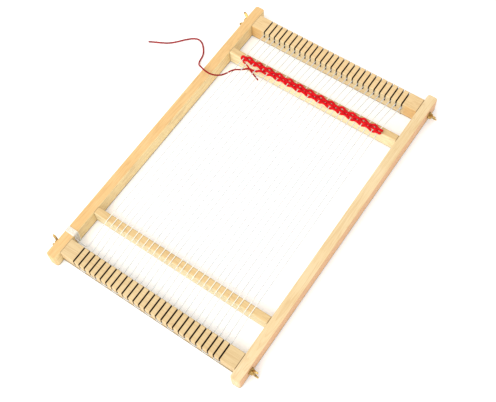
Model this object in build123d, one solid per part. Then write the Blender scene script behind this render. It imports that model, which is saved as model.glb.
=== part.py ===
from build123d import *
import os
from math import pi, radians, tan

# Small tabletop tapestry frame loom, in millimetres.
# Origin: middle of the footprint, on the surface the loom lies on.
# X runs across the loom, Y along the side rails from near to far, Z up.

# ---- driving dimensions -------------------------------------------------
FRAME_WIDTH = 250.0        # over the outer faces of the side rails
FRAME_LENGTH = 396.0       # length of the side rails
FRAME_HEIGHT = 20.0        # height of rails and cross bars

RAIL_WIDTH = 12.0
RAIL_END_ROUND = 3.0       # upright corners at the rail ends
EDGE_ROUND = 0.9           # sanded long edges
CROSS_EDGE_ROUND = 1.8     # softer edges where the warp passes over

BEAM_INSET = 9.4           # beam's outer face to rail end
BEAM_WIDTH = 19.4
BEAM_HEIGHT = 19.6
BEAM_END_GAP = 0.2         # beam end to rail, each side

SLOT_COUNT = 27
SLOT_PITCH = 7.25
SLOT_WIDTH = 1.5
SLOT_DEPTH = 10.0

CROSS_WIDTH = 9.0
CROSS_CENTRE_Y = 127.5     # cross bar centre line, near and far
DOWEL_DIAMETER = 5.0
DOWEL_LENGTH = 24.0
DOWEL_HOLE_IN_RAIL = 8.0
DOWEL_HOLE_IN_BAR = 16.6
DOWEL_END_GAP = 0.2        # dowel end to the bottom of its hole
DOWEL_CHAMFER = 0.6
GLUE_GAP = 0.02

STUD_DIAMETER = 4.0
STUD_IN_BEAM = 14.0
STUD_OUTSIDE = 5.4         # stud tip beyond the rail's outer face
STUD_HOLE_SPARE = 0.3      # hole in the beam deeper than the stud
STUD_CHAMFER = 0.5
STUD_BORE = 4.1            # running fit in the rail and the nut
WASHER_DIAMETER = 9.0
WASHER_BORE = 4.2
WASHER_THICKNESS = 0.8
STACK_GAP = 0.05           # rail to washer and washer to nut
NUT_HUB_WIDE = 7.8
NUT_HUB_NARROW = 6.6
NUT_HUB_HEIGHT = 3.4
NUT_HEIGHT = 8.6           # seat to wing tips
NUT_REACH = 8.8            # axis to wing tips
NUT_WING_THICKNESS = 1.4
NUT_WING_FOOT = 0.6        # seat to the lowest point of a wing
NUT_WING_ROOT = 2.6        # axis to the root of a wing, inside the hub
NUT_WING_CHORD = 3.4       # wing's depth at its tip
NUT_TIP_ROUND = 1.5
WING_ANGLES = {"near_left": 68, "near_right": 88, "far_left": 45, "far_right": 115}

WARP_DIAMETER = 1.1
YARN_DIAMETER = 2.0
REST_GAP = 0.05            # cord to the wood that it lies on
SPAN_WOOD_GAP = 0.2        # end of a span to the beam's inner face
TURN_BEND = 0.9            # bend of a warp loop round a tooth
WRAP_TURNS = 6
WRAP_PITCH = 1.2
WRAP_FIRST_Y = -165.9      # turn next to the near beam
WRAP_GROOVE_DEPTH = 1.6    # groove under the rail, so that the loom lies flat
WRAP_LOW_Z = 0.75          # middle of the cord in that groove
WRAP_BEND = 1.2
START_STRAND_GAP = 3.0     # first strand's run along the near beam
END_TAIL_GAP = 0.9         # hanging warp end to the far beam's inner face

CLOTH_WIDTH_SHARE = 0.975  # the weft draws the strands together by this much
ROW_COUNT = 4
ROW_PITCH = 2.02
LAST_ROW_Y = 119.3         # row nearest the weaver
ROW_OVERHANG = 3.75        # outermost strand to row end
ROW_CORNER_RISE = 3.35     # route corners above and below the warp
EDGE_CORNER_RISE = 2.25    # the same at the two outermost strands
EDGE_TURN_GAP = 0.6        # row end to the half loop that joins it to the next

# ---- worked-out sizes ----------------------------------------------------
RAIL_X = (FRAME_WIDTH - RAIL_WIDTH) / 2
RAIL_INNER_X = FRAME_WIDTH / 2 - RAIL_WIDTH
RAIL_OUTER_X = FRAME_WIDTH / 2
BEAM_Y = FRAME_LENGTH / 2 - BEAM_INSET - BEAM_WIDTH / 2
BEAM_OUTER_Y = BEAM_Y + BEAM_WIDTH / 2
BEAM_INNER_Y = BEAM_Y - BEAM_WIDTH / 2
BEAM_END_X = RAIL_INNER_X - BEAM_END_GAP
PIVOT_Z = FRAME_HEIGHT - BEAM_HEIGHT / 2
SLOT_X = [(i - (SLOT_COUNT - 1) / 2) * SLOT_PITCH for i in range(SLOT_COUNT)]
CLOTH_X = [x * CLOTH_WIDTH_SHARE for x in SLOT_X]
ROW_END_X = CLOTH_X[-1] + ROW_OVERHANG
CROSS_OUTER_Y = CROSS_CENTRE_Y + CROSS_WIDTH / 2
CROSS_INNER_Y = CROSS_CENTRE_Y - CROSS_WIDTH / 2

WARP_R = WARP_DIAMETER / 2
YARN_R = YARN_DIAMETER / 2
WARP_ON_BAR_Z = FRAME_HEIGHT + REST_GAP + WARP_R
SLOT_CORD_Z = FRAME_HEIGHT - SLOT_DEPTH + REST_GAP + WARP_R
TURN_Y = BEAM_OUTER_Y + REST_GAP + WARP_R
CROSSING = WARP_R + YARN_R + REST_GAP
WARP_IN_WEFT_Z = FRAME_HEIGHT + 0.3 + YARN_R + CROSSING
WEFT_START_Y = LAST_ROW_Y - YARN_R - 1.0
WEFT_END_Y = LAST_ROW_Y + (ROW_COUNT - 1) * ROW_PITCH + YARN_R + 0.4

os.makedirs("parts", exist_ok=True)


def save(name, shape):
    shape.label = name
    export_step(shape, f"parts/{name}.step")


def rod_x(diameter, x_start, x_end, y, z):
    """Cylinder along X between two X positions."""
    length = x_end - x_start
    return Pos((x_start + x_end) / 2, y, z) * Rot(0, 90, 0) * Cylinder(diameter / 2, length)


# ---- cords ---------------------------------------------------------------
def arc_radii(points, share=0.45):
    """Largest comfortable bend at each inner point of a cord's route."""
    corners = [Vector(*p) for p in points]
    radii = []
    for before, here, after in zip(corners, corners[1:], corners[2:]):
        run_in = here - before
        run_out = after - here
        half_turn = radians(run_in.get_angle(run_out)) / 2
        radii.append(share * min(run_in.length, run_out.length) / tan(half_turn))
    return radii


def cord(points, diameter, radii=None, name=None):
    """Round cord of straight runs joined by tangent arcs."""
    radii = radii or arc_radii(points)
    path = FilletPolyline(*points, radius=radii)
    section = Plane(origin=path @ 0, z_dir=path % 0) * Circle(diameter / 2)
    tube = sweep(section, path=path)
    if name:
        exact = pi * diameter ** 2 / 4 * path.length
        print(f"{name}: length {path.length:.1f} mm, radii", [round(r, 1) for r in radii])
        print(f"{name}: volume {tube.volume:.1f}, section times length {exact:.1f}")
    return tube


def strand(points):
    """Warp strand through points, with upright end faces."""
    rings = [Plane(origin=point, z_dir=(0, 1, 0)) * Circle(WARP_R) for point in points]
    return loft(rings, ruled=True)


# ---- wooden frame ----------------------------------------------------------
def bar(length_x, length_y, height, z_low, edge_round):
    """Planed stick along X with its four long edges rounded."""
    stick = Pos(0, 0, z_low + height / 2) * Box(length_x, length_y, height)
    return fillet(stick.edges().filter_by(Axis.X), edge_round)


def side_rail(side):
    rail = Pos(0, 0, FRAME_HEIGHT / 2) * Box(RAIL_WIDTH, FRAME_LENGTH, FRAME_HEIGHT)
    rail = fillet(rail.edges().filter_by(Axis.Z), RAIL_END_ROUND)
    rail = fillet(rail.faces().sort_by(Axis.Z)[-1].edges(), EDGE_ROUND)
    rail = fillet(rail.faces().sort_by(Axis.Z)[0].edges(), EDGE_ROUND)
    rail = Pos(side * RAIL_X, 0, 0) * rail
    for end in (-1, 1):
        rail -= rod_x(STUD_BORE, side * RAIL_X - RAIL_WIDTH, side * RAIL_X + RAIL_WIDTH,
                      end * BEAM_Y, PIVOT_Z)
        hole_middle = side * (RAIL_INNER_X + DOWEL_HOLE_IN_RAIL / 2)
        rail -= rod_x(DOWEL_DIAMETER + GLUE_GAP, hole_middle - DOWEL_HOLE_IN_RAIL / 2,
                      hole_middle + DOWEL_HOLE_IN_RAIL / 2, end * CROSS_CENTRE_Y, FRAME_HEIGHT / 2)
    return rail


def wrap_groove():
    """Shallow groove under the left rail for the turns that anchor the warp."""
    spare = 1.0
    width = WRAP_TURNS * WRAP_PITCH + WARP_DIAMETER + spare
    middle_y = WRAP_FIRST_Y + (WRAP_TURNS - 0.5) * WRAP_PITCH / 2
    groove = Box(RAIL_WIDTH + spare, width, 2 * WRAP_GROOVE_DEPTH)
    return Pos(-RAIL_X, middle_y, 0) * groove


def cross_bar(end):
    cross = bar(2 * RAIL_INNER_X, CROSS_WIDTH, FRAME_HEIGHT, 0, CROSS_EDGE_ROUND)
    for side in (-1, 1):
        hole_end = side * (RAIL_INNER_X - DOWEL_HOLE_IN_BAR / 2)
        cross -= rod_x(DOWEL_DIAMETER + GLUE_GAP, hole_end - DOWEL_HOLE_IN_BAR / 2,
                       hole_end + DOWEL_HOLE_IN_BAR / 2, 0, FRAME_HEIGHT / 2)
    return Pos(0, end * CROSS_CENTRE_Y, 0) * cross


def cross_bar_dowels(end):
    dowels = []
    outer = RAIL_INNER_X + DOWEL_HOLE_IN_RAIL - DOWEL_END_GAP
    for side in (-1, 1):
        middle = side * (outer - DOWEL_LENGTH / 2)
        dowel = rod_x(DOWEL_DIAMETER, middle - DOWEL_LENGTH / 2, middle + DOWEL_LENGTH / 2,
                      end * CROSS_CENTRE_Y, FRAME_HEIGHT / 2)
        dowels.append(chamfer(dowel.edges().filter_by(GeomType.CIRCLE), DOWEL_CHAMFER))
    return Compound(children=dowels)


def slotted_beam(end):
    beam = bar(2 * BEAM_END_X, BEAM_WIDTH, BEAM_HEIGHT, FRAME_HEIGHT - BEAM_HEIGHT, EDGE_ROUND)
    slot = Box(SLOT_WIDTH, 2 * BEAM_WIDTH, 2 * SLOT_DEPTH)
    beam -= [Pos(x, 0, FRAME_HEIGHT) * slot for x in SLOT_X]
    bore_depth = STUD_IN_BEAM + STUD_HOLE_SPARE
    for side in (-1, 1):
        middle = side * (BEAM_END_X - bore_depth / 2)
        beam -= rod_x(STUD_DIAMETER + GLUE_GAP, middle - bore_depth / 2, middle + bore_depth / 2,
                      0, PIVOT_Z)
    return Pos(0, end * BEAM_Y, 0) * beam


# ---- hardware at the four corners -----------------------------------------
# Built on an axis along +X that starts at the rail's outer face, then placed.
def corner_place(end, side):
    turn = 0 if side > 0 else 180
    return Pos(side * RAIL_OUTER_X, end * BEAM_Y, PIVOT_Z) * Rot(0, 0, turn)


def stud():
    inner = -(RAIL_WIDTH + BEAM_END_GAP + STUD_IN_BEAM)
    shank = rod_x(STUD_DIAMETER, inner, STUD_OUTSIDE, 0, 0)
    return chamfer(shank.edges().filter_by(GeomType.CIRCLE), STUD_CHAMFER)


def washer():
    disc = rod_x(WASHER_DIAMETER, STACK_GAP, STACK_GAP + WASHER_THICKNESS, 0, 0)
    return disc - rod_x(WASHER_BORE, 0, 2 * WASHER_THICKNESS, 0, 0)


def wing_nut(angle):
    seat = 2 * STACK_GAP + WASHER_THICKNESS
    hub_top = seat + NUT_HUB_HEIGHT
    hub = Cone(NUT_HUB_WIDE / 2, NUT_HUB_NARROW / 2, NUT_HUB_HEIGHT)
    hub = Pos((seat + hub_top) / 2, 0, 0) * Rot(0, 90, 0) * hub
    foot = seat + NUT_WING_FOOT
    top = seat + NUT_HEIGHT
    elbow = NUT_REACH - NUT_WING_CHORD
    outline = Plane.XY * Polyline(
        (foot, NUT_WING_ROOT), (foot + NUT_TIP_ROUND, elbow), (top - NUT_WING_ROOT, NUT_REACH),
        (top, NUT_REACH), (top, elbow), (hub_top, NUT_WING_ROOT), close=True)
    blade = make_face(outline)
    tips = blade.vertices().sort_by(Axis.X)[-2:]
    blade = fillet(tips, NUT_TIP_ROUND)
    wing = extrude(blade, NUT_WING_THICKNESS / 2, both=True)
    nut = hub + wing + Rot(180, 0, 0) * wing
    nut -= rod_x(STUD_BORE, 0, top, 0, 0)
    return Rot(angle, 0, 0) * nut


# ---- warp ------------------------------------------------------------------
def span_top(end):
    """Where the warp starts down to a beam: the near bar's outer edge, or the end of the cloth."""
    return (CROSS_OUTER_Y, WARP_ON_BAR_Z) if end < 0 else (WEFT_END_Y, WARP_IN_WEFT_Z)


def slot_entry(end):
    """Height of the warp where it enters a slot, at the beam's inner face."""
    top_y, top_z = span_top(end)
    slope = (top_z - SLOT_CORD_Z) / (TURN_Y - top_y)
    return SLOT_CORD_Z + slope * (TURN_Y - BEAM_INNER_Y)


def warp_strands():
    """Strands from the near cross bar to the far edge of the cloth, drawn together there."""
    return [strand([(x, -CROSS_OUTER_Y, WARP_ON_BAR_Z), (x, -CROSS_INNER_Y, WARP_ON_BAR_Z),
                    (cloth_x, WEFT_START_Y, WARP_IN_WEFT_Z), (cloth_x, WEFT_END_Y, WARP_IN_WEFT_Z)])
            for x, cloth_x in zip(SLOT_X, CLOTH_X)]


def near_warp_spans():
    """Strands from the near beam's slots up to the near cross bar."""
    return [strand([(x, -(BEAM_INNER_Y - SPAN_WOOD_GAP), slot_entry(-1)),
                    (x, -CROSS_OUTER_Y, WARP_ON_BAR_Z)]) for x in SLOT_X[1:]]


def far_warp_spans():
    """Strands from the cloth down to the far beam's slots."""
    return [strand([(cloth_x, WEFT_END_Y, WARP_IN_WEFT_Z),
                    (x, BEAM_INNER_Y - SPAN_WOOD_GAP, slot_entry(1))])
            for x, cloth_x in zip(SLOT_X, CLOTH_X)]


def warp_turns(end):
    """Loops that pass down one slot, round the tooth and back up the next."""
    first = 1 if end < 0 else 0
    loops = []
    for left, right in zip(SLOT_X[first::2], SLOT_X[first + 1::2]):
        route = [(left, end * BEAM_INNER_Y, slot_entry(end)), (left, end * TURN_Y, SLOT_CORD_Z),
                 (right, end * TURN_Y, SLOT_CORD_Z), (right, end * BEAM_INNER_Y, slot_entry(end))]
        loops.append(cord(route, WARP_DIAMETER, [TURN_BEND, TURN_BEND]))
    return loops


def warp_start_strand():
    """First strand: from the turns on the left rail, along the beam, then away to the bar."""
    y = -(BEAM_INNER_Y - START_STRAND_GAP)
    route = [(-RAIL_INNER_X + 1.6, y, 15.4), (SLOT_X[0] - 3.0, y - 0.4, 14.6),
             (SLOT_X[0], y + 3.2, 15.3), (SLOT_X[0], -CROSS_OUTER_Y - 0.15, WARP_ON_BAR_Z)]
    return cord(route, WARP_DIAMETER, [2.4, 2.2])


def rail_wraps():
    """Turns of warp round the left rail that anchor its start."""
    out = REST_GAP + WARP_R
    left = -RAIL_OUTER_X - out
    right = -RAIL_INNER_X + out
    top = FRAME_HEIGHT + out
    corners = [(right, top), (left, top), (left, WRAP_LOW_Z), (right, WRAP_LOW_Z)]
    route = []
    for step in range(4 * WRAP_TURNS):
        x, z = corners[step % 4]
        route.append((x, WRAP_FIRST_Y + step * WRAP_PITCH / 4, z))
    return cord(route, WARP_DIAMETER, [WRAP_BEND] * (len(route) - 2))


def warp_end_tail():
    """Knotted end of the warp, hanging down the far beam's inner face."""
    x = SLOT_X[-1]
    y = BEAM_INNER_Y - END_TAIL_GAP
    route = [(x - 0.3, y - 0.4, 11.6), (x - 0.9, y - 0.2, 7.5), (x - 0.4, y, 3.9), (x + 0.5, y, 1.0)]
    return cord(route, WARP_DIAMETER)


# ---- weft ------------------------------------------------------------------
def row_y(row):
    """Rows count from the first one woven, farthest from the weaver."""
    return LAST_ROW_Y + (ROW_COUNT - 1 - row) * ROW_PITCH


def weft_corner(index, row, x, y, z_middle):
    side = 1 if (index + row) % 2 else -1
    rise = EDGE_CORNER_RISE if index in (0, SLOT_COUNT - 1) else ROW_CORNER_RISE
    return (x, y, z_middle + side * rise)


def full_row(row):
    y = row_y(row)
    route = [(-ROW_END_X, y, WARP_IN_WEFT_Z)]
    route += [weft_corner(i, row, x, y, WARP_IN_WEFT_Z) for i, x in enumerate(CLOTH_X)]
    route.append((ROW_END_X, y, WARP_IN_WEFT_Z))
    return cord(route, YARN_DIAMETER)


# Last row: beaten up on the right, still loose round the six strands on the left.
LOOSE_ROW_START = (-95.4, 96.6, 22.7)
LOOSE_ROW_Y = [101.0, 108.2, 112.0, 114.9, 117.0, 118.5]


def last_row():
    row = ROW_COUNT - 1
    route = [LOOSE_ROW_START]
    for i, x in enumerate(CLOTH_X):
        y = LOOSE_ROW_Y[i] if i < len(LOOSE_ROW_Y) else LAST_ROW_Y
        route.append(weft_corner(i, row, x, y, WARP_IN_WEFT_Z))
    route.append((ROW_END_X, LAST_ROW_Y, WARP_IN_WEFT_Z))
    return cord(route, YARN_DIAMETER)


def edge_turn(row):
    """Half loop that joins a row to the next one at the edge of the cloth."""
    side = 1 if row % 2 == 0 else -1
    y_low = row_y(row + 1)
    bend = ROW_PITCH / 2
    x = side * (ROW_END_X + EDGE_TURN_GAP)
    section = Plane(origin=(x, y_low, WARP_IN_WEFT_Z), z_dir=(1, 0, 0)) * Circle(YARN_R)
    axis = Axis((x, y_low + bend, WARP_IN_WEFT_Z), (0, 0, side))
    return revolve(section, axis, 180)


START_TAIL = [
    (-90.6, 119.1, 21.1), (-86.6, 118.6, 21.0), (-81.6, 116.9, 20.7), (-75.6, 113.6, 20.1),
    (-69.0, 111.1, 19.2), (-62.3, 108.9, 17.8),
]

WORKING_YARN = [
    (-96.1, 95.7, 22.7), (-98.1, 91.0, 23.1), (-101.4, 86.8, 23.8), (-106.2, 83.4, 24.6),
    (-112.0, 81.6, 25.2), (-118.6, 82.0, 25.4), (-125.0, 84.0, 24.6), (-130.3, 87.2, 20.6),
    (-133.9, 90.4, 14.9), (-137.0, 93.6, 9.0), (-140.6, 97.0, 3.9), (-143.9, 101.2, 1.5),
    (-145.0, 106.4, 1.1), (-145.8, 111.6, 1.2), (-148.5, 116.8, 1.1), (-152.6, 122.0, 1.2),
    (-157.9, 126.8, 1.1), (-164.6, 129.2, 1.2), (-171.4, 126.2, 1.1), (-178.0, 119.9, 1.2),
    (-184.6, 111.8, 1.1), (-191.2, 105.0, 1.2), (-199.4, 100.2, 1.1), (-207.4, 96.6, 1.1),
    (-214.6, 92.6, 1.1),
]


# ---- write the pieces ------------------------------------------------------
save("left_side_rail", side_rail(-1) - wrap_groove())
save("right_side_rail", side_rail(1))
for end, place in ((-1, "near"), (1, "far")):
    save(f"{place}_cross_bar", cross_bar(end))
    save(f"{place}_cross_bar_dowels", cross_bar_dowels(end))
    save(f"{place}_slotted_beam", slotted_beam(end))
    save(f"{place}_warp_turns", Compound(children=warp_turns(end)))
    for side, hand in ((-1, "left"), (1, "right")):
        corner = f"{place}_{hand}"
        seat = corner_place(end, side)
        save(f"{corner}_stud", seat * stud())
        save(f"{corner}_washer", seat * washer())
        save(f"{corner}_wing_nut", seat * wing_nut(WING_ANGLES[corner] * side))

save("near_warp_spans", Compound(children=near_warp_spans()))
save("far_warp_spans", Compound(children=far_warp_spans()))
save("warp_strands", Compound(children=warp_strands()))
save("warp_start_strand", warp_start_strand())
save("warp_rail_wraps", rail_wraps())
save("warp_end_tail", warp_end_tail())
for number in range(ROW_COUNT - 1):
    save(f"weft_row_{number + 1}", full_row(number))
save(f"weft_row_{ROW_COUNT}", last_row())
save("weft_edge_turns", Compound(children=[edge_turn(row) for row in range(ROW_COUNT - 1)]))
save("weft_start_tail", cord(START_TAIL, YARN_DIAMETER, name="weft_start_tail"))
save("weft_working_yarn", cord(WORKING_YARN, YARN_DIAMETER, name="weft_working_yarn"))
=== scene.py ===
import bpy
import math
import random
from mathutils import Matrix, Vector


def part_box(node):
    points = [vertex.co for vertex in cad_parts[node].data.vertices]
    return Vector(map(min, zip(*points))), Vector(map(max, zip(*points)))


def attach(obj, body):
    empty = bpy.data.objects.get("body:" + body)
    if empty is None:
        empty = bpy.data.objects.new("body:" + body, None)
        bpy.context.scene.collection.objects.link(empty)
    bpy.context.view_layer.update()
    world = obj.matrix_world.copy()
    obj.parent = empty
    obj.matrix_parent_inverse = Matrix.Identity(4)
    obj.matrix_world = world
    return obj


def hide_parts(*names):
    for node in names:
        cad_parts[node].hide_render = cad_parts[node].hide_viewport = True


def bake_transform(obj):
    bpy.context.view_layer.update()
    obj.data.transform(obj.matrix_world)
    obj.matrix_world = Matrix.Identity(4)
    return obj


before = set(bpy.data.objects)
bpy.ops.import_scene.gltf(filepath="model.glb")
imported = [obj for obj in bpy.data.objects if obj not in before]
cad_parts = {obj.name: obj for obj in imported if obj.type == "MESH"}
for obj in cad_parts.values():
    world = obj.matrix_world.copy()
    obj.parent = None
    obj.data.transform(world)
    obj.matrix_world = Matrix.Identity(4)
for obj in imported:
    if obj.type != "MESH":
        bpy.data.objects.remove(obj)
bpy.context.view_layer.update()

MM = 0.001
random.seed(27)

# ---- sizes read from the frame ---------------------------------------------
rail_low, rail_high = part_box("right_side_rail")
beam_low, beam_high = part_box("far_slotted_beam")
bar_low, bar_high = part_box("far_cross_bar")
strands_low, strands_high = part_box("warp_strands")
row_low, row_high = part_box("weft_row_3")

RAIL_INNER_X = rail_low[0]
RAIL_OUTER_X = rail_high[0]
TOP_Z = rail_high[2]
BEAM_INNER_Y = beam_low[1]
BEAM_OUTER_Y = beam_high[1]
BEAM_Y = (BEAM_INNER_Y + BEAM_OUTER_Y) / 2
PIVOT_Z = (beam_low[2] + beam_high[2]) / 2
BAR_INNER_Y = bar_low[1]
BAR_OUTER_Y = bar_high[1]

WARP_R = 0.55 * MM
YARN_R = 1.0 * MM
SLOT_COUNT = 27
SLOT_PITCH = (strands_high[0] - strands_low[0] - 2 * WARP_R) / (SLOT_COUNT - 1)
SLOT_X = [(i - (SLOT_COUNT - 1) / 2) * SLOT_PITCH for i in range(SLOT_COUNT)]
CLOTH_SHARE = 0.975        # the weft draws the strands in to this share of the slots' width
CLOTH_X = [x * CLOTH_SHARE for x in SLOT_X]
CLOTH_PITCH = SLOT_PITCH * CLOTH_SHARE
SLOT_WIDTH = 1.5 * MM
SLOT_DEPTH = 10.0 * MM
CORD_GAP = 0.05 * MM       # between a cord and the wood that it lies on
SLOT_FLOOR_Z = TOP_Z - SLOT_DEPTH
WARP_ON_BAR_Z = TOP_Z + CORD_GAP + WARP_R
SLOT_CORD_Z = SLOT_FLOOR_Z + CORD_GAP + WARP_R
TURN_Y = BEAM_OUTER_Y + CORD_GAP + WARP_R
ROW_Z = (row_low[2] + row_high[2]) / 2
ROW_COUNT = 4
ROW_PITCH = 2.02 * MM
LAST_ROW_Y = (row_low[1] + row_high[1]) / 2 - ROW_PITCH
WEFT_END_Y = strands_high[1]
WEFT_LEAD = 2.0 * MM       # the strands are at the cloth's height this far before its last row
WEFT_START_Y = LAST_ROW_Y - WEFT_LEAD

# ---- camera ----------------------------------------------------------------
EYE = Vector((0.28598, -0.35467, 0.83790))
AIM = Vector((0.01207, -0.02071, 0.0))
ROLL = -0.093
LENS = 61.91


def make_camera():
    data = bpy.data.cameras.new("camera")
    data.lens = LENS
    data.sensor_width = 36.0
    data.clip_start = 0.01
    data.clip_end = 20.0
    camera = bpy.data.objects.new("camera", data)
    bpy.context.scene.collection.objects.link(camera)
    ahead = (AIM - EYE).normalized()
    right = ahead.cross(Vector((0, 0, 1))).normalized()
    up = right.cross(ahead)
    rolled_right = math.cos(ROLL) * right + math.sin(ROLL) * up
    rolled_up = -math.sin(ROLL) * right + math.cos(ROLL) * up
    axes = Matrix((rolled_right, rolled_up, -ahead)).transposed()
    camera.matrix_world = Matrix.Translation(EYE) @ axes.to_4x4()
    bpy.context.scene.camera = camera


make_camera()


# ---- material helpers --------------------------------------------------------
class Nodes:
    """Short way to write a material's node tree."""

    # A colour Mix node's own sockets, by index, because its socket names repeat.
    COLOUR_A, COLOUR_B, COLOUR_OUT = 6, 7, 2

    def __init__(self, name):
        self.material = bpy.data.materials.new(name)
        self.material.use_nodes = True
        self.tree = self.material.node_tree
        self.tree.nodes.clear()
        self.shader = self.add("ShaderNodeBsdfPrincipled")
        output = self.add("ShaderNodeOutputMaterial")
        self.link(self.shader.outputs[0], output.inputs["Surface"])
        self.place = self.add("ShaderNodeTexCoord").outputs["Object"]

    def add(self, kind, **settings):
        node = self.tree.nodes.new(kind)
        for key, value in settings.items():
            setattr(node, key, value)
        return node

    def link(self, source, target):
        self.tree.links.new(source, target)

    def feed(self, socket, value):
        if isinstance(value, bpy.types.NodeSocket):
            self.link(value, socket)
        else:
            socket.default_value = value

    def math(self, operation, first, second=0.0, clamp=False):
        node = self.add("ShaderNodeMath", operation=operation, use_clamp=clamp)
        self.feed(node.inputs[0], first)
        self.feed(node.inputs[1], second)
        return node.outputs[0]

    def mapping(self, scale, shift=(0, 0, 0), turn=(0, 0, 0)):
        node = self.add("ShaderNodeMapping")
        self.link(self.place, node.inputs["Vector"])
        node.inputs["Scale"].default_value = scale
        node.inputs["Location"].default_value = shift
        node.inputs["Rotation"].default_value = turn
        return node.outputs[0]

    def noise(self, vector, scale, detail=4.0, roughness=0.55, distortion=0.0):
        node = self.add("ShaderNodeTexNoise")
        self.link(vector, node.inputs["Vector"])
        node.inputs["Scale"].default_value = scale
        node.inputs["Detail"].default_value = detail
        node.inputs["Roughness"].default_value = roughness
        node.inputs["Distortion"].default_value = distortion
        return node.outputs["Fac"]

    def span(self, value, low, high, out_low=0.0, out_high=1.0):
        node = self.add("ShaderNodeMapRange", clamp=True)
        self.link(value, node.inputs["Value"])
        node.inputs["From Min"].default_value = low
        node.inputs["From Max"].default_value = high
        node.inputs["To Min"].default_value = out_low
        node.inputs["To Max"].default_value = out_high
        return node.outputs[0]

    def ramp(self, value, stops):
        node = self.add("ShaderNodeValToRGB")
        self.link(value, node.inputs["Fac"])
        elements = node.color_ramp.elements
        while len(elements) < len(stops):
            elements.new(0.5)
        for element, (position, colour) in zip(elements, stops):
            element.position = position
            element.color = (*colour, 1.0)
        return node.outputs["Color"]

    def mix(self, amount, first, second):
        node = self.add("ShaderNodeMix", data_type="RGBA", blend_type="MIX")
        self.feed(node.inputs["Factor"], amount)
        for socket, value in ((self.COLOUR_A, first), (self.COLOUR_B, second)):
            self.feed(node.inputs[socket], (*value, 1.0) if isinstance(value, tuple) else value)
        return node.outputs[self.COLOUR_OUT]

    def bump(self, height, distance, strength=1.0):
        node = self.add("ShaderNodeBump")
        self.link(height, node.inputs["Height"])
        node.inputs["Distance"].default_value = distance
        node.inputs["Strength"].default_value = strength
        self.link(node.outputs[0], self.shader.inputs["Normal"])

    def axis_value(self, name):
        """The object's own X, Y or Z, which is the frame's."""
        node = self.add("ShaderNodeSeparateXYZ")
        self.link(self.place, node.inputs[0])
        return node.outputs[name]


# Colour of the painted contact shade along the wood's lowest edges:
PAINTED_LOW_SHADE = (0.19, 0.125, 0.035)
SEAM_SHADE = (0.20, 0.085, 0.025)
STREAK = (0.46, 0.25, 0.10)
TOASTED = (0.15, 0.07, 0.016)
# Painted shade, over the scorch of the cut, for the walls inside the slots:
SLOT_WALL_SHADE = (0.018, 0.009, 0.003)
LOW_EDGE = 2.4 * MM        # height of the painted shade band along a stick's lowest edge
SLOT_MOUTH = 2.5 * MM      # how far in from a beam's face the slot walls are lighter
FACE_DEPTH = 0.2 * MM      # a face's own tone is full down to this depth
FACE_FADE = 0.7 * MM       # and gone at this one
SEAM_START = 0.9 * MM      # the seam's shade starts this far from the rail
SEAM_FULL = 0.2 * MM       # and is full this far from it
RING_COUNT = 9.0


def wood(name, along, tones, seed, slots=False, seam=False, face=None, low_edge=LOW_EDGE):
    """Bare sanded pine. along is the grain's axis, and tones run from the darkest to the palest.

    slots adds the saw slots' walls in painted shade, with their scorch and burnt edges, seam a
    shade where a cross piece meets the rails, and face is the face tone and its place, laid on
    after the streaks: painted light on paler faces, painted shade on darker ones.
    """
    n = Nodes(name)
    stretch = {"X": (1.0, 14.0, 14.0), "Y": (14.0, 1.0, 14.0)}[along]
    shift = (seed * 0.37, seed * 0.61, seed * 0.23)
    ring_space = n.mapping(stretch, shift, (0.05, 0.04, 0.03))
    rings = n.noise(ring_space, 7.0, 3.0, 0.5, 0.9)
    ring_lines = n.math("FRACT", n.math("MULTIPLY", rings, RING_COUNT))
    late_wood = n.span(ring_lines, 0.55, 0.98)
    fibre_stretch = tuple(60.0 if s > 1 else 2.2 for s in stretch)
    fibres = n.noise(n.mapping(fibre_stretch, shift), 22.0, 5.0, 0.65)
    clouds = n.noise(n.mapping((1, 1, 1), shift), 16.0, 2.0, 0.5)
    dark_to_pale = n.math("ADD", n.math("MULTIPLY", fibres, 0.55), n.math("MULTIPLY", clouds, 0.45))
    colour = n.ramp(dark_to_pale, [(0.30, tones[1]), (0.48, tones[2]), (0.70, tones[3])])
    colour = n.mix(n.math("MULTIPLY", late_wood, 0.34), colour, tones[0])
    # short dark pores and flecks
    pore_stretch = tuple(150.0 if s > 1 else 9.0 for s in stretch)
    pores = n.span(n.noise(n.mapping(pore_stretch, shift), 12.0, 2.0, 0.5), 0.66, 0.76)
    colour = n.mix(n.math("MULTIPLY", pores, 0.30), colour, tones[0])
    # painted light and shade on one face, streaked with the grain
    if face:
        streaks = n.math("MULTIPLY", late_wood, 0.42)
        streaks = n.math("MAXIMUM", streaks, n.math("MULTIPLY", pores, 0.5))
        colour = face_light_and_grain(n, colour, fibres, streaks, *face)
    # painted contact shade along the lowest edge
    low_shade = n.span(n.axis_value("Z"), low_edge * 0.55, low_edge, 0.92, 0.0)
    colour = n.mix(low_shade, colour, PAINTED_LOW_SHADE)
    if seam:
        from_middle = n.math("ABSOLUTE", n.axis_value("X"))
        shade = n.span(from_middle, RAIL_INNER_X - SEAM_START, RAIL_INNER_X - SEAM_FULL, 0.0, 0.72)
        colour = n.mix(shade, colour, SEAM_SHADE)
    if slots:
        colour = slot_shade_and_burn(n, colour)
    n.link(colour, n.shader.inputs["Base Color"])
    n.link(n.span(fibres, 0.3, 0.7, 0.46, 0.62), n.shader.inputs["Roughness"])
    n.shader.inputs["Specular IOR Level"].default_value = 0.32
    n.shader.inputs["Coat Weight"].default_value = 0.06
    n.shader.inputs["Coat Roughness"].default_value = 0.35
    height = n.math("SUBTRACT", n.math("MULTIPLY", fibres, 0.6), n.math("MULTIPLY", pores, 0.5))
    height = n.math("SUBTRACT", height, n.math("MULTIPLY", late_wood, 0.15))
    n.bump(height, 0.00022, 0.55)
    return n.material


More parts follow.
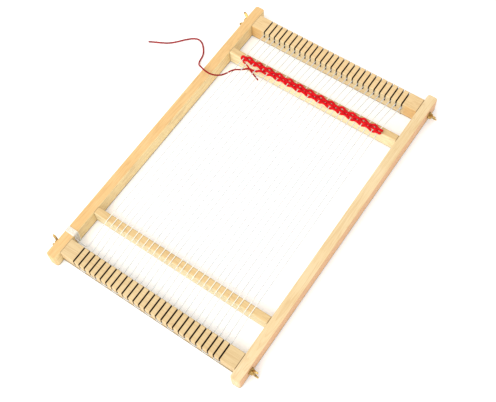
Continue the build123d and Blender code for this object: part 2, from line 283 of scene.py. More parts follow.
def face_light_and_grain(n, colour, fibres, streaks, axis, at, inward, tone, end_tone=None):
    """One long face takes a tone of its own, painted light on the paler faces and painted shade on
    the darker, streaked with the grain.

    The face lies across axis at the place at, and inward is the sign of the way into the wood.
    end_tone, where given, is the tone beyond the last slots.
    """
    if end_tone:
        from_middle = n.math("ABSOLUTE", n.axis_value("X"))
        beyond = n.span(from_middle, SLOT_X[-1] + 1 * MM, SLOT_X[-1] + 5 * MM)
        tone = n.mix(beyond, tone, end_tone)
    mask = n.span(n.axis_value(axis), at + inward * FACE_FADE, at + inward * FACE_DEPTH)
    tone = n.mix(streaks, tone, STREAK)
    grain = n.span(fibres, 0.3, 0.7, 0.62, 0.98)
    # the face's tone, painted light and shade, laid over the wood colour
    return n.mix(n.math("MULTIPLY", mask, grain), colour, tone)


def slot_shade_and_burn(n, colour):
    """Walls inside the saw slots painted near black, as shade over the scorch of the cut, lighter
    towards the beam's faces, and a toasted, smoky line at their edges.
    """
    across = n.math("DIVIDE", n.axis_value("X"), SLOT_PITCH)
    whole = n.math("ROUND", across)
    off_centre = n.math("ABSOLUTE", n.math("SUBTRACT", across, whole))
    distance = n.math("MULTIPLY", off_centre, SLOT_PITCH)
    half = SLOT_WIDTH / 2
    smoke = n.noise(n.mapping((1, 1, 1)), 900.0, 2.0, 0.5)
    wall = n.span(distance, half + 0.03 * MM, half + 0.10 * MM, 1.0, 0.0)
    depth = n.math("ABSOLUTE", n.axis_value("Y"))
    inner_light = n.span(depth, BEAM_INNER_Y, BEAM_INNER_Y + SLOT_MOUTH, 0.6, 1.0)
    outer_light = n.span(depth, BEAM_OUTER_Y - SLOT_MOUTH, BEAM_OUTER_Y, 1.0, 0.45)
    wall = n.math("MULTIPLY", n.math("MULTIPLY", wall, inner_light), outer_light)
    toast = n.span(distance, half + 0.08 * MM, half + 0.42 * MM, 1.0, 0.0)
    toast = n.math("MULTIPLY", toast, n.span(smoke, 0.3, 0.7, 0.62, 1.0))
    deep_enough = n.span(n.axis_value("Z"), SLOT_FLOOR_Z - 0.5 * MM, SLOT_FLOOR_Z - 0.3 * MM)
    in_range = n.math("LESS_THAN", n.math("ABSOLUTE", whole), SLOT_COUNT / 2)
    limit = n.math("MULTIPLY", deep_enough, in_range)
    toast = n.math("MULTIPLY", n.math("MULTIPLY", toast, limit), 0.85)
    colour = n.mix(toast, colour, TOASTED)
    # painted shade, with the scorch, on the walls inside the slots
    return n.mix(n.math("MULTIPLY", wall, limit), colour, SLOT_WALL_SHADE)


def brass(name, base, dark, seed, brushed=(40, 400, 400)):
    """Dulled yellow metal with tarnish in patches and fine machining marks."""
    n = Nodes(name)
    shift = (seed * 0.31, seed * 0.17, seed * 0.53)
    patches = n.noise(n.mapping((1, 1, 1), shift), 260.0, 4.0, 0.6)
    marks = n.noise(n.mapping(brushed, shift), 14.0, 3.0, 0.7)
    colour = n.ramp(patches, [(0.30, dark), (0.62, base)])
    n.link(colour, n.shader.inputs["Base Color"])
    n.shader.inputs["Metallic"].default_value = 1.0
    rough = n.math("ADD", n.span(patches, 0.3, 0.7, 0.44, 0.26), n.math("MULTIPLY", marks, 0.10))
    n.link(rough, n.shader.inputs["Roughness"])
    n.bump(n.math("ADD", n.math("MULTIPLY", marks, 0.5), patches), 0.00006, 0.5)
    return n.material


# Painted light: the cord turns this pale cream over the cross bars, fading out over CREAM_FADE.
BAR_LIGHT_CREAM = (0.96, 0.92, 0.76)
# Painted shade for the cord inside the slots:
IN_SLOT_SHADE = (0.028, 0.014, 0.005)
CREAM_FADE = 9 * MM
LOOSE_SHADE_Y = (110 * MM, 117 * MM)        # painted-shade loose tones up to the first, packed from the second
LOOSE_SHADE_X = (-99 * MM, -96 * MM)        # and the same to the left of the cloth


def tone_stops(tones):
    return [(0.33, tones[0]), (0.50, tones[1]), (0.68, tones[2])]


def fibre(name, tones, hair_scale, rough, sheen_tint, seed, subsurface, shaded=None, loose=None):
    """Spun cord or yarn: uneven tone, soft sheen and fine hairy bump.

    shaded gives the least and greatest |y| between which the cord is painted dark as shade, inside
    the slots, and it also turns a paler cream over the cross bars, as painted light. loose gives
    the tones of the yarn, darker as painted shade, where it isn't packed into the cloth.
    """
    n = Nodes(name)
    shift = (seed * 0.11, seed * 0.19, seed * 0.29)
    hairs = n.noise(n.mapping((1, 1, 1), shift), hair_scale, 5.0, 0.75, 0.6)
    tufts = n.noise(n.mapping((1, 1, 1), shift), hair_scale * 0.16, 2.0, 0.5)
    blend = n.math("ADD", n.math("MULTIPLY", hairs, 0.6), n.math("MULTIPLY", tufts, 0.4))
    colour = n.ramp(blend, tone_stops(tones))
    if shaded:
        depth = n.math("ABSOLUTE", n.axis_value("Y"))
        inside = n.math("MULTIPLY", n.span(depth, shaded[0], shaded[0] + 1.2 * MM),
                        n.span(depth, shaded[1] - 0.8 * MM, shaded[1], 1.0, 0.0))
        # painted light on the cord over the cross bars
        lit_over_bar = n.math("MULTIPLY", n.span(depth, BAR_INNER_Y - CREAM_FADE, BAR_INNER_Y),
                          n.span(depth, BAR_OUTER_Y, BAR_OUTER_Y + CREAM_FADE, 1.0, 0.0))
        colour = n.mix(n.math("MULTIPLY", lit_over_bar, 0.75), colour, BAR_LIGHT_CREAM)
        # painted shade on the cord inside the slots
        colour = n.mix(n.math("MULTIPLY", inside, 0.985), colour, IN_SLOT_SHADE)
    # painted shade: the same red yarn darker where it lies loose
    if loose:
        near_weaver = n.span(n.axis_value("Y"), *LOOSE_SHADE_Y, 1.0, 0.0)
        outside = n.span(n.axis_value("X"), *LOOSE_SHADE_X, 1.0, 0.0)
        loose_shade = n.math("MAXIMUM", near_weaver, outside)
        colour = n.mix(loose_shade, colour, n.ramp(blend, tone_stops(loose)))
    n.link(colour, n.shader.inputs["Base Color"])
    n.shader.inputs["Roughness"].default_value = rough
    n.shader.inputs["Specular IOR Level"].default_value = 0.2
    n.shader.inputs["Sheen Weight"].default_value = 0.12
    n.shader.inputs["Sheen Roughness"].default_value = 0.45
    n.shader.inputs["Sheen Tint"].default_value = (*sheen_tint, 1.0)
    n.shader.inputs["Subsurface Weight"].default_value = subsurface
    n.shader.inputs["Subsurface Radius"].default_value = (0.6, 0.25, 0.2)
    n.shader.inputs["Subsurface Scale"].default_value = 0.0006
    n.bump(hairs, 0.00012, 0.7)
    return n.material


# ---- materials -----------------------------------------------------------------
LEFT_RAIL_TONES = [(0.52, 0.27, 0.085), (0.68, 0.40, 0.155), (0.74, 0.47, 0.195),
                   (0.79, 0.54, 0.26)]
RIGHT_RAIL_TONES = [(0.54, 0.32, 0.12), (0.68, 0.48, 0.235), (0.74, 0.56, 0.31), (0.79, 0.64, 0.41)]
BAR_TONES = [(0.46, 0.26, 0.09), (0.60, 0.40, 0.17), (0.66, 0.46, 0.21), (0.72, 0.53, 0.27)]
FAR_BEAM_TONES = [(0.52, 0.30, 0.12), (0.67, 0.45, 0.21), (0.73, 0.52, 0.26), (0.79, 0.59, 0.33)]
NEAR_BEAM_TONES = [(0.46, 0.27, 0.11), (0.58, 0.41, 0.20), (0.64, 0.47, 0.24), (0.71, 0.54, 0.31)]
DOWEL_TONES = [(0.45, 0.29, 0.14), (0.56, 0.39, 0.21), (0.63, 0.46, 0.27), (0.69, 0.53, 0.34)]
# Face tones painted as light and shade: the inner and front faces paler, lit, and the right rail's
# outer side darker, shaded.
SHADED_OUTER_SIDE_TONE = (0.72, 0.37, 0.165)
LIT_INNER_SIDE_TONE = (0.90, 0.72, 0.36)
LIT_BAR_FRONT_TONE = (0.86, 0.77, 0.48)
LIT_BEAM_FRONT_TONE = (0.72, 0.60, 0.35)
BEAM_END_TONE = (0.74, 0.47, 0.18)

# The white warp cotton painted grey as its shade; the same cord in the rail turns stays paler.
SHADED_COTTON_TONES = [(0.49, 0.50, 0.49), (0.64, 0.65, 0.64), (0.78, 0.79, 0.78)]
ANCHOR_TONES = [(0.74, 0.69, 0.58), (0.88, 0.84, 0.73), (0.95, 0.92, 0.84)]
YARN_TONES = [(0.26, 0.0, 0.002), (0.66, 0.003, 0.008), (0.84, 0.010, 0.016)]
# The same red yarn, painted darker as shade where it lies loose:
SHADED_LOOSE_YARN_TONES = [(0.10, 0.003, 0.003), (0.29, 0.009, 0.010), (0.44, 0.018, 0.020)]
WHITE = (1.0, 1.0, 1.0)
SLOT_SHADE = (BEAM_INNER_Y + 0.6 * MM, BEAM_OUTER_Y - 0.6 * MM)

white_cotton = fibre("warp_cotton", SHADED_COTTON_TONES, 2600.0, 0.8, WHITE, 3, 0.10, shaded=SLOT_SHADE)
anchor_cotton = fibre("warp_cotton_layers", ANCHOR_TONES, 2600.0, 0.8, WHITE, 9, 0.10)
red_yarn = fibre("weft_yarn", YARN_TONES, 2100.0, 0.9, (1.0, 0.15, 0.15), 5, 0.05,
                 loose=SHADED_LOOSE_YARN_TONES)
nut_brass = brass("wing_nut_brass", (0.70, 0.47, 0.16), (0.20, 0.11, 0.035), 2, (160, 160, 160))
washer_brass = brass("washer_brass", (0.66, 0.47, 0.18), (0.26, 0.16, 0.055), 4)
stud_brass = brass("stud_brass", (0.60, 0.43, 0.18), (0.22, 0.14, 0.05), 6)


def dress(node, material):
    """Gives a CAD node its material on its own slots."""
    mesh_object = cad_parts[node]
    if not mesh_object.material_slots:
        mesh_object.data.materials.append(material)
    for material_slot in mesh_object.material_slots:
        material_slot.link = "OBJECT"
        material_slot.material = material


LEFT_INNER_FACE = ("X", -RAIL_INNER_X, -1, LIT_INNER_SIDE_TONE)
RIGHT_OUTER_FACE = ("X", RAIL_OUTER_X, -1, SHADED_OUTER_SIDE_TONE)
NEAR_BAR_FRONT = ("Y", -BAR_OUTER_Y, 1, LIT_BAR_FRONT_TONE)
FAR_BAR_FRONT = ("Y", BAR_INNER_Y, 1, LIT_BAR_FRONT_TONE)
FAR_BEAM_FRONT = ("Y", BEAM_INNER_Y, 1, LIT_BEAM_FRONT_TONE, BEAM_END_TONE)
# The near beam's painted shade band reaches this high, over its front face.
NEAR_BEAM_LOW_EDGE = 9.0 * MM

for node, name, along, tones, seed, extras in (
        ("left_side_rail", "left_rail_pine", "Y", LEFT_RAIL_TONES, 1, {"face": LEFT_INNER_FACE}),
        ("right_side_rail", "right_rail_pine", "Y", RIGHT_RAIL_TONES, 7,
         {"face": RIGHT_OUTER_FACE}),
        ("near_cross_bar", "near_bar_pine", "X", BAR_TONES, 4,
         {"seam": True, "face": NEAR_BAR_FRONT}),
        ("far_cross_bar", "far_bar_pine", "X", BAR_TONES, 9,
         {"seam": True, "face": FAR_BAR_FRONT}),
        ("near_cross_bar_dowels", "near_dowel_birch", "X", DOWEL_TONES, 11, {}),
        ("far_cross_bar_dowels", "far_dowel_birch", "X", DOWEL_TONES, 13, {}),
        ("near_slotted_beam", "near_beam_pine", "X", NEAR_BEAM_TONES, 5,
         {"slots": True, "seam": True, "low_edge": NEAR_BEAM_LOW_EDGE}),
        ("far_slotted_beam", "far_beam_pine", "X", FAR_BEAM_TONES, 12,
         {"slots": True, "seam": True, "face": FAR_BEAM_FRONT})):
    dress(node, wood(name, along, tones, seed, **extras))


# ---- mesh helpers ----------------------------------------------------------------
def mesh_piece(name, verts, faces, material):
    mesh = bpy.data.meshes.new(name)
    mesh.from_pydata([tuple(v) for v in verts], [], faces)
    mesh.validate()
    mesh.update()
    mesh.materials.append(material)
    mesh.polygons.foreach_set("use_smooth", [True] * len(mesh.polygons))
    piece = bpy.data.objects.new(name, mesh)
    bpy.context.scene.collection.objects.link(piece)
    return piece


def evenly(points, step):
    """Points along a polyline, a fixed distance apart."""
    spaced = [points[0].copy()]
    carried = 0.0
    for a, b in zip(points, points[1:]):
        length = (b - a).length
        reach = step - carried
        while reach <= length:
            spaced.append(a.lerp(b, reach / length))
            reach += step
        carried = length - (reach - step)
    if (spaced[-1] - points[-1]).length > step * 0.3:
        spaced.append(points[-1].copy())
    else:
        spaced[-1] = points[-1].copy()
    return spaced


def rounded(points, bend, steps=6):
    """The same route with each corner turned as a quadratic curve that starts bend before it."""
    route = [points[0].copy()]
    for before, here, after in zip(points, points[1:], points[2:]):
        back = min(bend, (here - before).length * 0.48)
        on = min(bend, (after - here).length * 0.48)
        start = here + (before - here).normalized() * back
        end = here + (after - here).normalized() * on
        for i in range(steps + 1):
            t = i / steps
            route.append(start * (1 - t) ** 2 + here * 2 * t * (1 - t) + end * t ** 2)
    route.append(points[-1].copy())
    return route


def rings_along(points):
    """A frame at each point that doesn't turn about the line: (point, side, up)."""
    frames = []
    tangent = (points[1] - points[0]).normalized()
    side = tangent.cross(Vector((0, 0, 1)))
    if side.length < 0.1:
        side = tangent.cross(Vector((0, 1, 0)))
    side.normalize()
    for i, point in enumerate(points):
        ahead = points[min(i + 1, len(points) - 1)]
        behind = points[max(i - 1, 0)]
        new_tangent = (ahead - behind).normalized()
        turn = tangent.rotation_difference(new_tangent)
        side = (turn @ side).normalized()
        tangent = new_tangent
        frames.append((point, side, side.cross(tangent).normalized()))
    return frames


def twisted_tube(points, radius, plies, lay, sides, groove=0.22, phase=0.0, flatten=None):
    """Vertices and faces of a laid cord: a lobed section that turns once in each lay length.

    flatten, where given, returns how much wider and how much taller the section is at a point.
    """
    verts = []
    faces = []
    travelled = 0.0
    frames = rings_along(points)
    for k, (point, side, up) in enumerate(frames):
        if k:
            travelled += (point - frames[k - 1][0]).length
        spin = phase + 2 * math.pi * travelled / lay
        wide, tall = flatten(point) if flatten else (1.0, 1.0)
        for s in range(sides):
            angle = 2 * math.pi * s / sides
            lobe = abs(math.cos(plies * (angle - spin) / 2))
            r = radius * (1 - groove * (1 - lobe) ** 1.5)
            offset = side * (math.cos(angle) * r * wide) + up * (math.sin(angle) * r * tall)
            verts.append(point + offset)
    for k in range(len(frames) - 1):
        for s in range(sides):
            a = k * sides + s
            b = k * sides + (s + 1) % sides
            faces.append((a, b, b + sides, a + sides))
    for ring, order in ((0, 1), (len(frames) - 1, -1)):
        centre = len(verts)
        inward = frames[1][0] - frames[0][0] if ring == 0 else frames[-2][0] - frames[-1][0]
        verts.append(frames[ring][0] - inward.normalized() * radius * 0.35)
        for s in range(sides):
            a = ring * sides + s
            b = ring * sides + (s + 1) % sides
            faces.append((b, a, centre) if order > 0 else (a, b, centre))
    return verts, faces


def joined_tubes(tubes):
    """Several tubes' vertices and faces as one."""
    verts = []
    faces = []
    for tube_verts, tube_faces in tubes:
        base = len(verts)
        verts += tube_verts
        faces += [tuple(i + base for i in face) for face in tube_faces]
    return verts, faces


# ---- warp ----------------------------------------------------------------------------
WARP_LAY = 3.6 * MM
WARP_STEP = 0.75 * MM
WARP_SIDES = 8
WARP_PLIES = 2
WARP_GROOVE = 0.24


def warp_tube(points, phase):
    return twisted_tube(evenly(points, WARP_STEP), WARP_R, WARP_PLIES, WARP_LAY, WARP_SIDES,
                        WARP_GROOVE, phase)


# Sideways wander of each strand where it crosses the near bar, in mm: it was wound by hand.
WANDER = 0.55
PAIR_PULL = 0.35 * MM      # a near loop's two strands lean towards each other by this much
wander = [random.uniform(-WANDER, WANDER) * MM for _ in SLOT_X]
pair_pull = [PAIR_PULL * (1 if i % 2 else -1) for i in range(SLOT_COUNT)]


def bar_x(i):
    return SLOT_X[i] + wander[i] + pair_pull[i]


def in_weft_x(i):
    """The weft keeps only part of a strand's wander."""
    return CLOTH_X[i] + 0.25 * wander[i]


def middle_strand(i):
    """One strand from the near bar's outer edge over both bars to the end of the cloth."""
    points = [Vector((bar_x(i), -BAR_OUTER_Y, WARP_ON_BAR_Z)),
              Vector((bar_x(i) * 0.995 + SLOT_X[i] * 0.005, -BAR_INNER_Y, WARP_ON_BAR_Z)),
              Vector((in_weft_x(i), WEFT_START_Y, ROW_Z)),
              Vector((in_weft_x(i), WEFT_END_Y, ROW_Z))]
    return warp_tube(points, i * 0.9)


def slot_entry_z(bar_y, bar_z):
    """Height at the beam's inner face of a strand that runs straight from the bar to the loop."""
    slope = (bar_z - SLOT_CORD_Z) / (TURN_Y - bar_y)
    return SLOT_CORD_Z + slope * (TURN_Y - BEAM_INNER_Y)


def span_points(i, end):
    """From the cross bar, or the end of the cloth, down to where the strand leaves the slot."""
    bar_y, bar_z = (BAR_OUTER_Y, WARP_ON_BAR_Z) if end < 0 else (WEFT_END_Y, ROW_Z)
    top_x = bar_x(i) if end < 0 else in_weft_x(i)
    return [Vector((top_x, end * bar_y, bar_z)),
            Vector((SLOT_X[i], end * BEAM_INNER_Y, slot_entry_z(bar_y, bar_z))),
            Vector((SLOT_X[i], end * TURN_Y, SLOT_CORD_Z))]


LOOP_BEND = 0.95 * MM


def end_loop(left, right, end):
    """Two strands and the loop that joins them round a tooth."""
    down = span_points(left, end)
    up = span_points(right, end)
    return warp_tube(rounded(down + up[::-1], LOOP_BEND), left * 0.7)


def warp_pieces():
    """The strands over the bars, and at each end the spans and loops."""
    strands = joined_tubes([middle_strand(i) for i in range(SLOT_COUNT)])
    middle = mesh_piece("warp_over_the_bars", *strands, white_cotton)
    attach(middle, "frame")
    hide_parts("warp_strands")

    near = [end_loop(i, i + 1, -1) for i in range(1, SLOT_COUNT - 1, 2)]
    far = [end_loop(i, i + 1, 1) for i in range(0, SLOT_COUNT - 1, 2)]
    # The last far strand has no neighbour to loop to: it ends just inside its slot, at the hitch.
    into_slot = 0.9 * MM
    drop = 0.2 * MM
    last = span_points(SLOT_COUNT - 1, 1)[:2]
    last_z = slot_entry_z(WEFT_END_Y, ROW_Z) - drop
    last.append(Vector((SLOT_X[-1], BEAM_INNER_Y + into_slot, last_z)))
    far.append(warp_tube(last, 1.3))
    for tubes, place, end in ((near, "near", -1), (far, "far", 1)):
        piece = mesh_piece(f"{place}_warp_ends", *joined_tubes(tubes), white_cotton)
        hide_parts(f"{place}_warp_spans", f"{place}_warp_turns")
        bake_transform(piece)


RAIL_TURNS = 6
RAIL_TURN_PITCH = 1.2 * MM
RAIL_TURN_BEND = 1.2 * MM
RAIL_TURN_LOOSENESS = 0.12


def warp_start():
    """First strand and the turns round the left rail that hold its start."""
    wraps_low, wraps_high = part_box("warp_rail_wraps")
    left, right = wraps_low[0] + WARP_R, wraps_high[0] - WARP_R
    bottom, top = wraps_low[2] + WARP_R, wraps_high[2] - WARP_R
    first_y = wraps_low[1] + WARP_R
    corners = [(right, top), (left, top), (left, bottom), (right, bottom)]
    route = []
    for step in range(4 * RAIL_TURNS):
        x, z = corners[step % 4]
        loose = random.uniform(-RAIL_TURN_LOOSENESS, RAIL_TURN_LOOSENESS) * MM
        route.append(Vector((x, first_y + step * RAIL_TURN_PITCH / 4 + loose, z)))
    wraps = mesh_piece("warp_rail_turns", *warp_tube(rounded(route, RAIL_TURN_BEND), 0.4),
                       anchor_cotton)
    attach(wraps, "frame")
    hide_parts("warp_rail_wraps")

    # From the rail along the beam's inner face, then up to the bar. Offsets are in mm.
    beside_beam_y = -(BEAM_INNER_Y - 3.0 * MM)
    route = [Vector((right + 0.3 * MM, beside_beam_y + 0.3 * MM, 15.8 * MM)),
             Vector((SLOT_X[0] - 9 * MM, beside_beam_y - 0.2 * MM, 14.4 * MM)),
             Vector((SLOT_X[0] - 1.5 * MM, beside_beam_y - 0.3 * MM, 14.4 * MM)),
             Vector((SLOT_X[0] + 0.1 * MM, beside_beam_y + 2.6 * MM, 15.2 * MM)),
             Vector((bar_x(0), -BAR_OUTER_Y, WARP_ON_BAR_Z))]
    first = mesh_piece("warp_first_strand", *warp_tube(rounded(route, 2.6 * MM), 0.2),
                       white_cotton)
    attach(first, "frame")
    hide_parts("warp_start_strand")


HITCH_STEPS = 24
HITCH_TURNS = 2.2
HITCH_WIDTH_R = 0.95 * MM
HITCH_HEIGHT_R = 1.0 * MM
HITCH_DEPTH_R = 0.15 * MM
HITCH_BELOW = 1.3 * MM     # the hitch's middle is this far below the slot's entry
HITCH_SINK = 0.25 * MM     # and it goes down by this much from its first turn to its last


def warp_end():
    """Half hitch at the last slot and the short tail below it."""
    x = SLOT_X[-1]
    y = BEAM_INNER_Y - 0.75 * MM
    z = slot_entry_z(WEFT_END_Y, ROW_Z)
    hitch = []
    for i in range(HITCH_STEPS + 1):
        t = i / HITCH_STEPS * HITCH_TURNS * 2 * math.pi
        hitch.append(Vector((x + HITCH_WIDTH_R * math.cos(t), y - HITCH_DEPTH_R * math.sin(t / 2),
                             z - HITCH_BELOW + HITCH_HEIGHT_R * math.sin(t)
                             - HITCH_SINK * i / HITCH_STEPS)))
    tail = [Vector((x - 0.5 * MM, y, z - 3.0 * MM)),
            Vector((x - 0.9 * MM, y, 7.5 * MM)),
            Vector((x - 0.4 * MM, y - 0.1 * MM, 3.9 * MM)),
            Vector((x + 0.5 * MM, y - 0.1 * MM, 1.0 * MM))]
    piece = mesh_piece("warp_end_hitch", *warp_tube(rounded(hitch + tail, 1.2 * MM, 4), 0.0),
                       white_cotton)
    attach(piece, "far_beam")
    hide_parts("warp_end_tail")


warp_pieces()
warp_start()
warp_end()


# ---- weft -----------------------------------------------------------------------------
YARN_LAY = 6.5 * MM
YARN_STEP = 0.42 * MM
YARN_SIDES = 14
YARN_PLIES = 3
ROW_GROOVE = 0.22
FREE_GROOVE = 0.30
WEFT_R = 1.62 * MM         # packed rows swell to this half width
WEFT_LOW = 0.73            # and to this share of it in height
LOOSE_Y = 108 * MM         # up to here the yarn is round and loose
PACKING_LENGTH = 9 * MM    # and this much farther on it's fully packed
CROSS_RISE = WARP_R + YARN_R + 0.02 * MM
EDGE_X = CLOTH_X[-1] + 1.5 * MM
TURN_REACH = 1.1 * MM
LOOSE_START_X = -95.4 * MM
FIRST_ROW_BULGE = 0.8 * MM
ROW_BULGE = 0.3 * MM


def packed(point):
    """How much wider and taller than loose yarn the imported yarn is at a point."""
    press = max(0.0, min(1.0, (point.y - LOOSE_Y) / PACKING_LENGTH))
    return 1 + (WEFT_R / YARN_R - 1) * press, 1 + (WEFT_LOW * WEFT_R / YARN_R - 1) * press


def row_tube(points, phase):
    return twisted_tube(evenly(points, YARN_STEP), YARN_R, YARN_PLIES, YARN_LAY, YARN_SIDES,
                        ROW_GROOVE, phase, packed)


def row_y(row):
    """Y of a row: the first row is the farthest from the weaver."""
    return LAST_ROW_Y + (ROW_COUNT - 1 - row) * ROW_PITCH


# Y of the last row at the first strands from the left, where it hasn't been beaten down yet.
LOOSE_ROW_Y = [101.0 * MM, 109.2 * MM, 112.2 * MM, 115.7 * MM, 117.3 * MM, 118.8 * MM]


def wave_route(row, y_at, start_x, end_x, bulge=0.0):
    """Smooth wave over and under the strands, bulging away from the weaver where it's on top."""
    points = []
    steps = int((end_x - start_x) / (0.25 * MM))
    for k in range(steps + 1):
        x = start_x + (end_x - start_x) * k / steps
        place = (x - CLOTH_X[0]) / CLOTH_PITCH
        swing = math.cos(math.pi * place) * (1 if row % 2 else -1)
        lift = CROSS_RISE * math.copysign(abs(swing) ** 0.8, swing)
        lean = 0.16 * MM * math.sin(place * 1.7 + row * 2.1) + bulge * max(0.0, swing) ** 1.5
        points.append(Vector((x, y_at(place) + lean, ROW_Z + lift)))
    return points


def loose_y(place):
    """Y of the last row, which is still loose on the left. place is counted in strands."""
    known = LOOSE_ROW_Y + [LAST_ROW_Y, LAST_ROW_Y]
    if place <= 0:
        return known[0] + (known[1] - known[0]) * place * 1.07
    if place >= len(known) - 1:
        return LAST_ROW_Y
    i = int(place)
    t = place - i
    before = known[max(i - 1, 0)]
    after = known[min(i + 2, len(known) - 1)]
    a, b = known[i], known[i + 1]
    slope_a = (b - before) / 2 if i else b - a
    slope_b = (after - a) / 2
    return (a * (2 * t ** 3 - 3 * t ** 2 + 1) + slope_a * (t ** 3 - 2 * t ** 2 + t)
            + b * (3 * t ** 2 - 2 * t ** 3) + slope_b * (t ** 3 - t ** 2))


def selvedge_turn(leaving, entering, side):
    """Half loop round the outermost strand, from one row's end to the next row's."""
    pull = Vector((side * TURN_REACH * 4, 0, 0))
    steps = 16
    points = []
    for k in range(steps + 1):
        t = k / steps
        points.append(leaving * (1 - t) ** 3 + (leaving + pull / 3) * 3 * t * (1 - t) ** 2
                      + (entering + pull / 3) * 3 * t ** 2 * (1 - t) + entering * t ** 3)
    return points


def weft_pieces():
    """The four rows, and the half loops that join each to the next."""
    routes = []
    for row in range(ROW_COUNT):
        if row < ROW_COUNT - 1:
            bulge = FIRST_ROW_BULGE if row == 0 else ROW_BULGE
            route = wave_route(row, lambda place, row=row: row_y(row), -EDGE_X, EDGE_X, bulge)
        else:
            route = wave_route(row, loose_y, LOOSE_START_X, EDGE_X)
        routes.append(route)
        piece = mesh_piece(f"weft_pass_{row + 1}", *row_tube(route, row * 1.3), red_yarn)
        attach(piece, "frame")
        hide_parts(f"weft_row_{row + 1}")
    turns = []
    for row in range(ROW_COUNT - 1):
        side = 1 if row % 2 == 0 else -1
        end = -1 if side > 0 else 0
        turns.append(row_tube(selvedge_turn(routes[row][end], routes[row + 1][end], side), 0.5))
    piece = mesh_piece("weft_selvedge", *joined_tubes(turns), red_yarn)
    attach(piece, "frame")
    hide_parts("weft_edge_turns")


weft_pieces()

# Routes of the free yarn in mm, the same points as in part.py.
START_TAIL = [
    (-90.6, 119.1, 21.1), (-86.6, 118.6, 21.0), (-81.6, 116.9, 20.7), (-75.6, 113.6, 20.1),
    (-69.0, 111.1, 19.2), (-62.3, 108.9, 17.8),
]

WORKING_YARN = [
    (-96.1, 95.7, 22.7), (-98.1, 91.0, 23.1), (-101.4, 86.8, 23.8), (-106.2, 83.4, 24.6),
    (-112.0, 81.6, 25.2), (-118.6, 82.0, 25.4), (-125.0, 84.0, 24.6), (-130.3, 87.2, 20.6),
    (-133.9, 90.4, 14.9), (-137.0, 93.6, 9.0), (-140.6, 97.0, 3.9), (-143.9, 101.2, 1.5),
    (-145.0, 106.4, 1.1), (-145.8, 111.6, 1.2), (-148.5, 116.8, 1.1), (-152.6, 122.0, 1.2),
    (-157.9, 126.8, 1.1), (-164.6, 129.2, 1.2), (-171.4, 126.2, 1.1), (-178.0, 119.9, 1.2),
    (-184.6, 111.8, 1.1), (-191.2, 105.0, 1.2), (-199.4, 100.2, 1.1), (-207.4, 96.6, 1.1),
    (-214.6, 92.6, 1.1),
]


def nurbs_line(name, points):
    """Centreline read from a NURBS spline with the route's points as control points."""
    curve = bpy.data.curves.new(name, "CURVE")
    curve.dimensions = "3D"
    spline = curve.splines.new("NURBS")
    spline.points.add(len(points) - 1)
    for control, point in zip(spline.points, points):
        control.co = (point[0] * MM, point[1] * MM, point[2] * MM, 1.0)
    spline.order_u = 3
    spline.use_endpoint_u = True
    spline.resolution_u = 16
    carrier = bpy.data.objects.new(name, curve)
    bpy.context.scene.collection.objects.link(carrier)
    line = bpy.data.meshes.new_from_object(carrier)
    path = [v.co.copy() for v in line.vertices]
    bpy.data.objects.remove(carrier)
    return path


def free_yarn(name, node, points, phase):
    """Yarn that lies free of the cloth, with its real length measured along its own path."""
    path = evenly(nurbs_line(name + "_line", points), YARN_STEP)
    tube = twisted_tube(path, YARN_R, YARN_PLIES, YARN_LAY, YARN_SIDES, FREE_GROOVE, phase)
    piece = mesh_piece(name, *tube, red_yarn)
    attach(piece, "frame")
    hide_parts(node)


free_yarn("working_yarn", "weft_working_yarn", WORKING_YARN, 0.7)
free_yarn("start_tail", "weft_start_tail", START_TAIL, 2.1)


# ---- hardware ------------------------------------------------------------------------------
def corner_frame(place, hand):
    """Matrix from an axis along +X at the rail's outer face to that corner."""
    end = 1 if place == "far" else -1
    side = 1 if hand == "right" else -1
    turn = Matrix.Identity(4) if side > 0 else Matrix.Rotation(math.pi, 4, "Z")
    return Matrix.Translation((side * RAIL_OUTER_X, end * BEAM_Y, PIVOT_Z)) @ turn


def lathe(profile, sides):
    """Closed ring of (x, radius) points turned about the X axis."""
    verts = []
    faces = []
    count = len(profile)
    for s in range(sides):
        angle = 2 * math.pi * s / sides
        for x, r in profile:
            verts.append(Vector((x, r * math.cos(angle), r * math.sin(angle))))
    for s in range(sides):
        for k in range(count):
            a = s * count + k
            b = s * count + (k + 1) % count
            c = ((s + 1) % sides) * count + (k + 1) % count
            d = ((s + 1) % sides) * count + k
            faces.append((a, b, c, d))
    return verts, faces


TIP_TAPER = 0.25 * MM
TIP_CROWN = 0.05 * MM


def threaded_rod(start, end, major, minor, pitch, sides=28, per_turn=10):
    """Rod along X with a real helical thread and a tapered first turn at its tip."""
    verts = []
    faces = []
    step = pitch / per_turn
    count = int((end - start) / step)
    for k in range(count + 1):
        x = start + (end - start) * k / count
        lead_in = min(1.0, (end - x) / (1.1 * pitch))
        for s in range(sides):
            turn = s / sides
            wave = abs(((x / pitch - turn) % 1.0) * 2 - 1)
            crest = minor + (major - minor) * min(1.0, wave * 1.25)
            taper = minor + (major - minor) * lead_in - (1 - lead_in) * TIP_TAPER
            r = min(crest, taper)
            angle = 2 * math.pi * turn
            verts.append(Vector((x, r * math.cos(angle), r * math.sin(angle))))
    for k in range(count):
        for s in range(sides):
            a = k * sides + s
            b = k * sides + (s + 1) % sides
            faces.append((a, a + sides, b + sides, b))
    for ring, flip in ((0, False), (count, True)):
        centre = len(verts)
        verts.append(Vector((start if ring == 0 else end + TIP_CROWN, 0, 0)))
        for s in range(sides):
            a = ring * sides + s
            b = ring * sides + (s + 1) % sides
            faces.append((a, b, centre) if not flip else (b, a, centre))
    return verts, faces


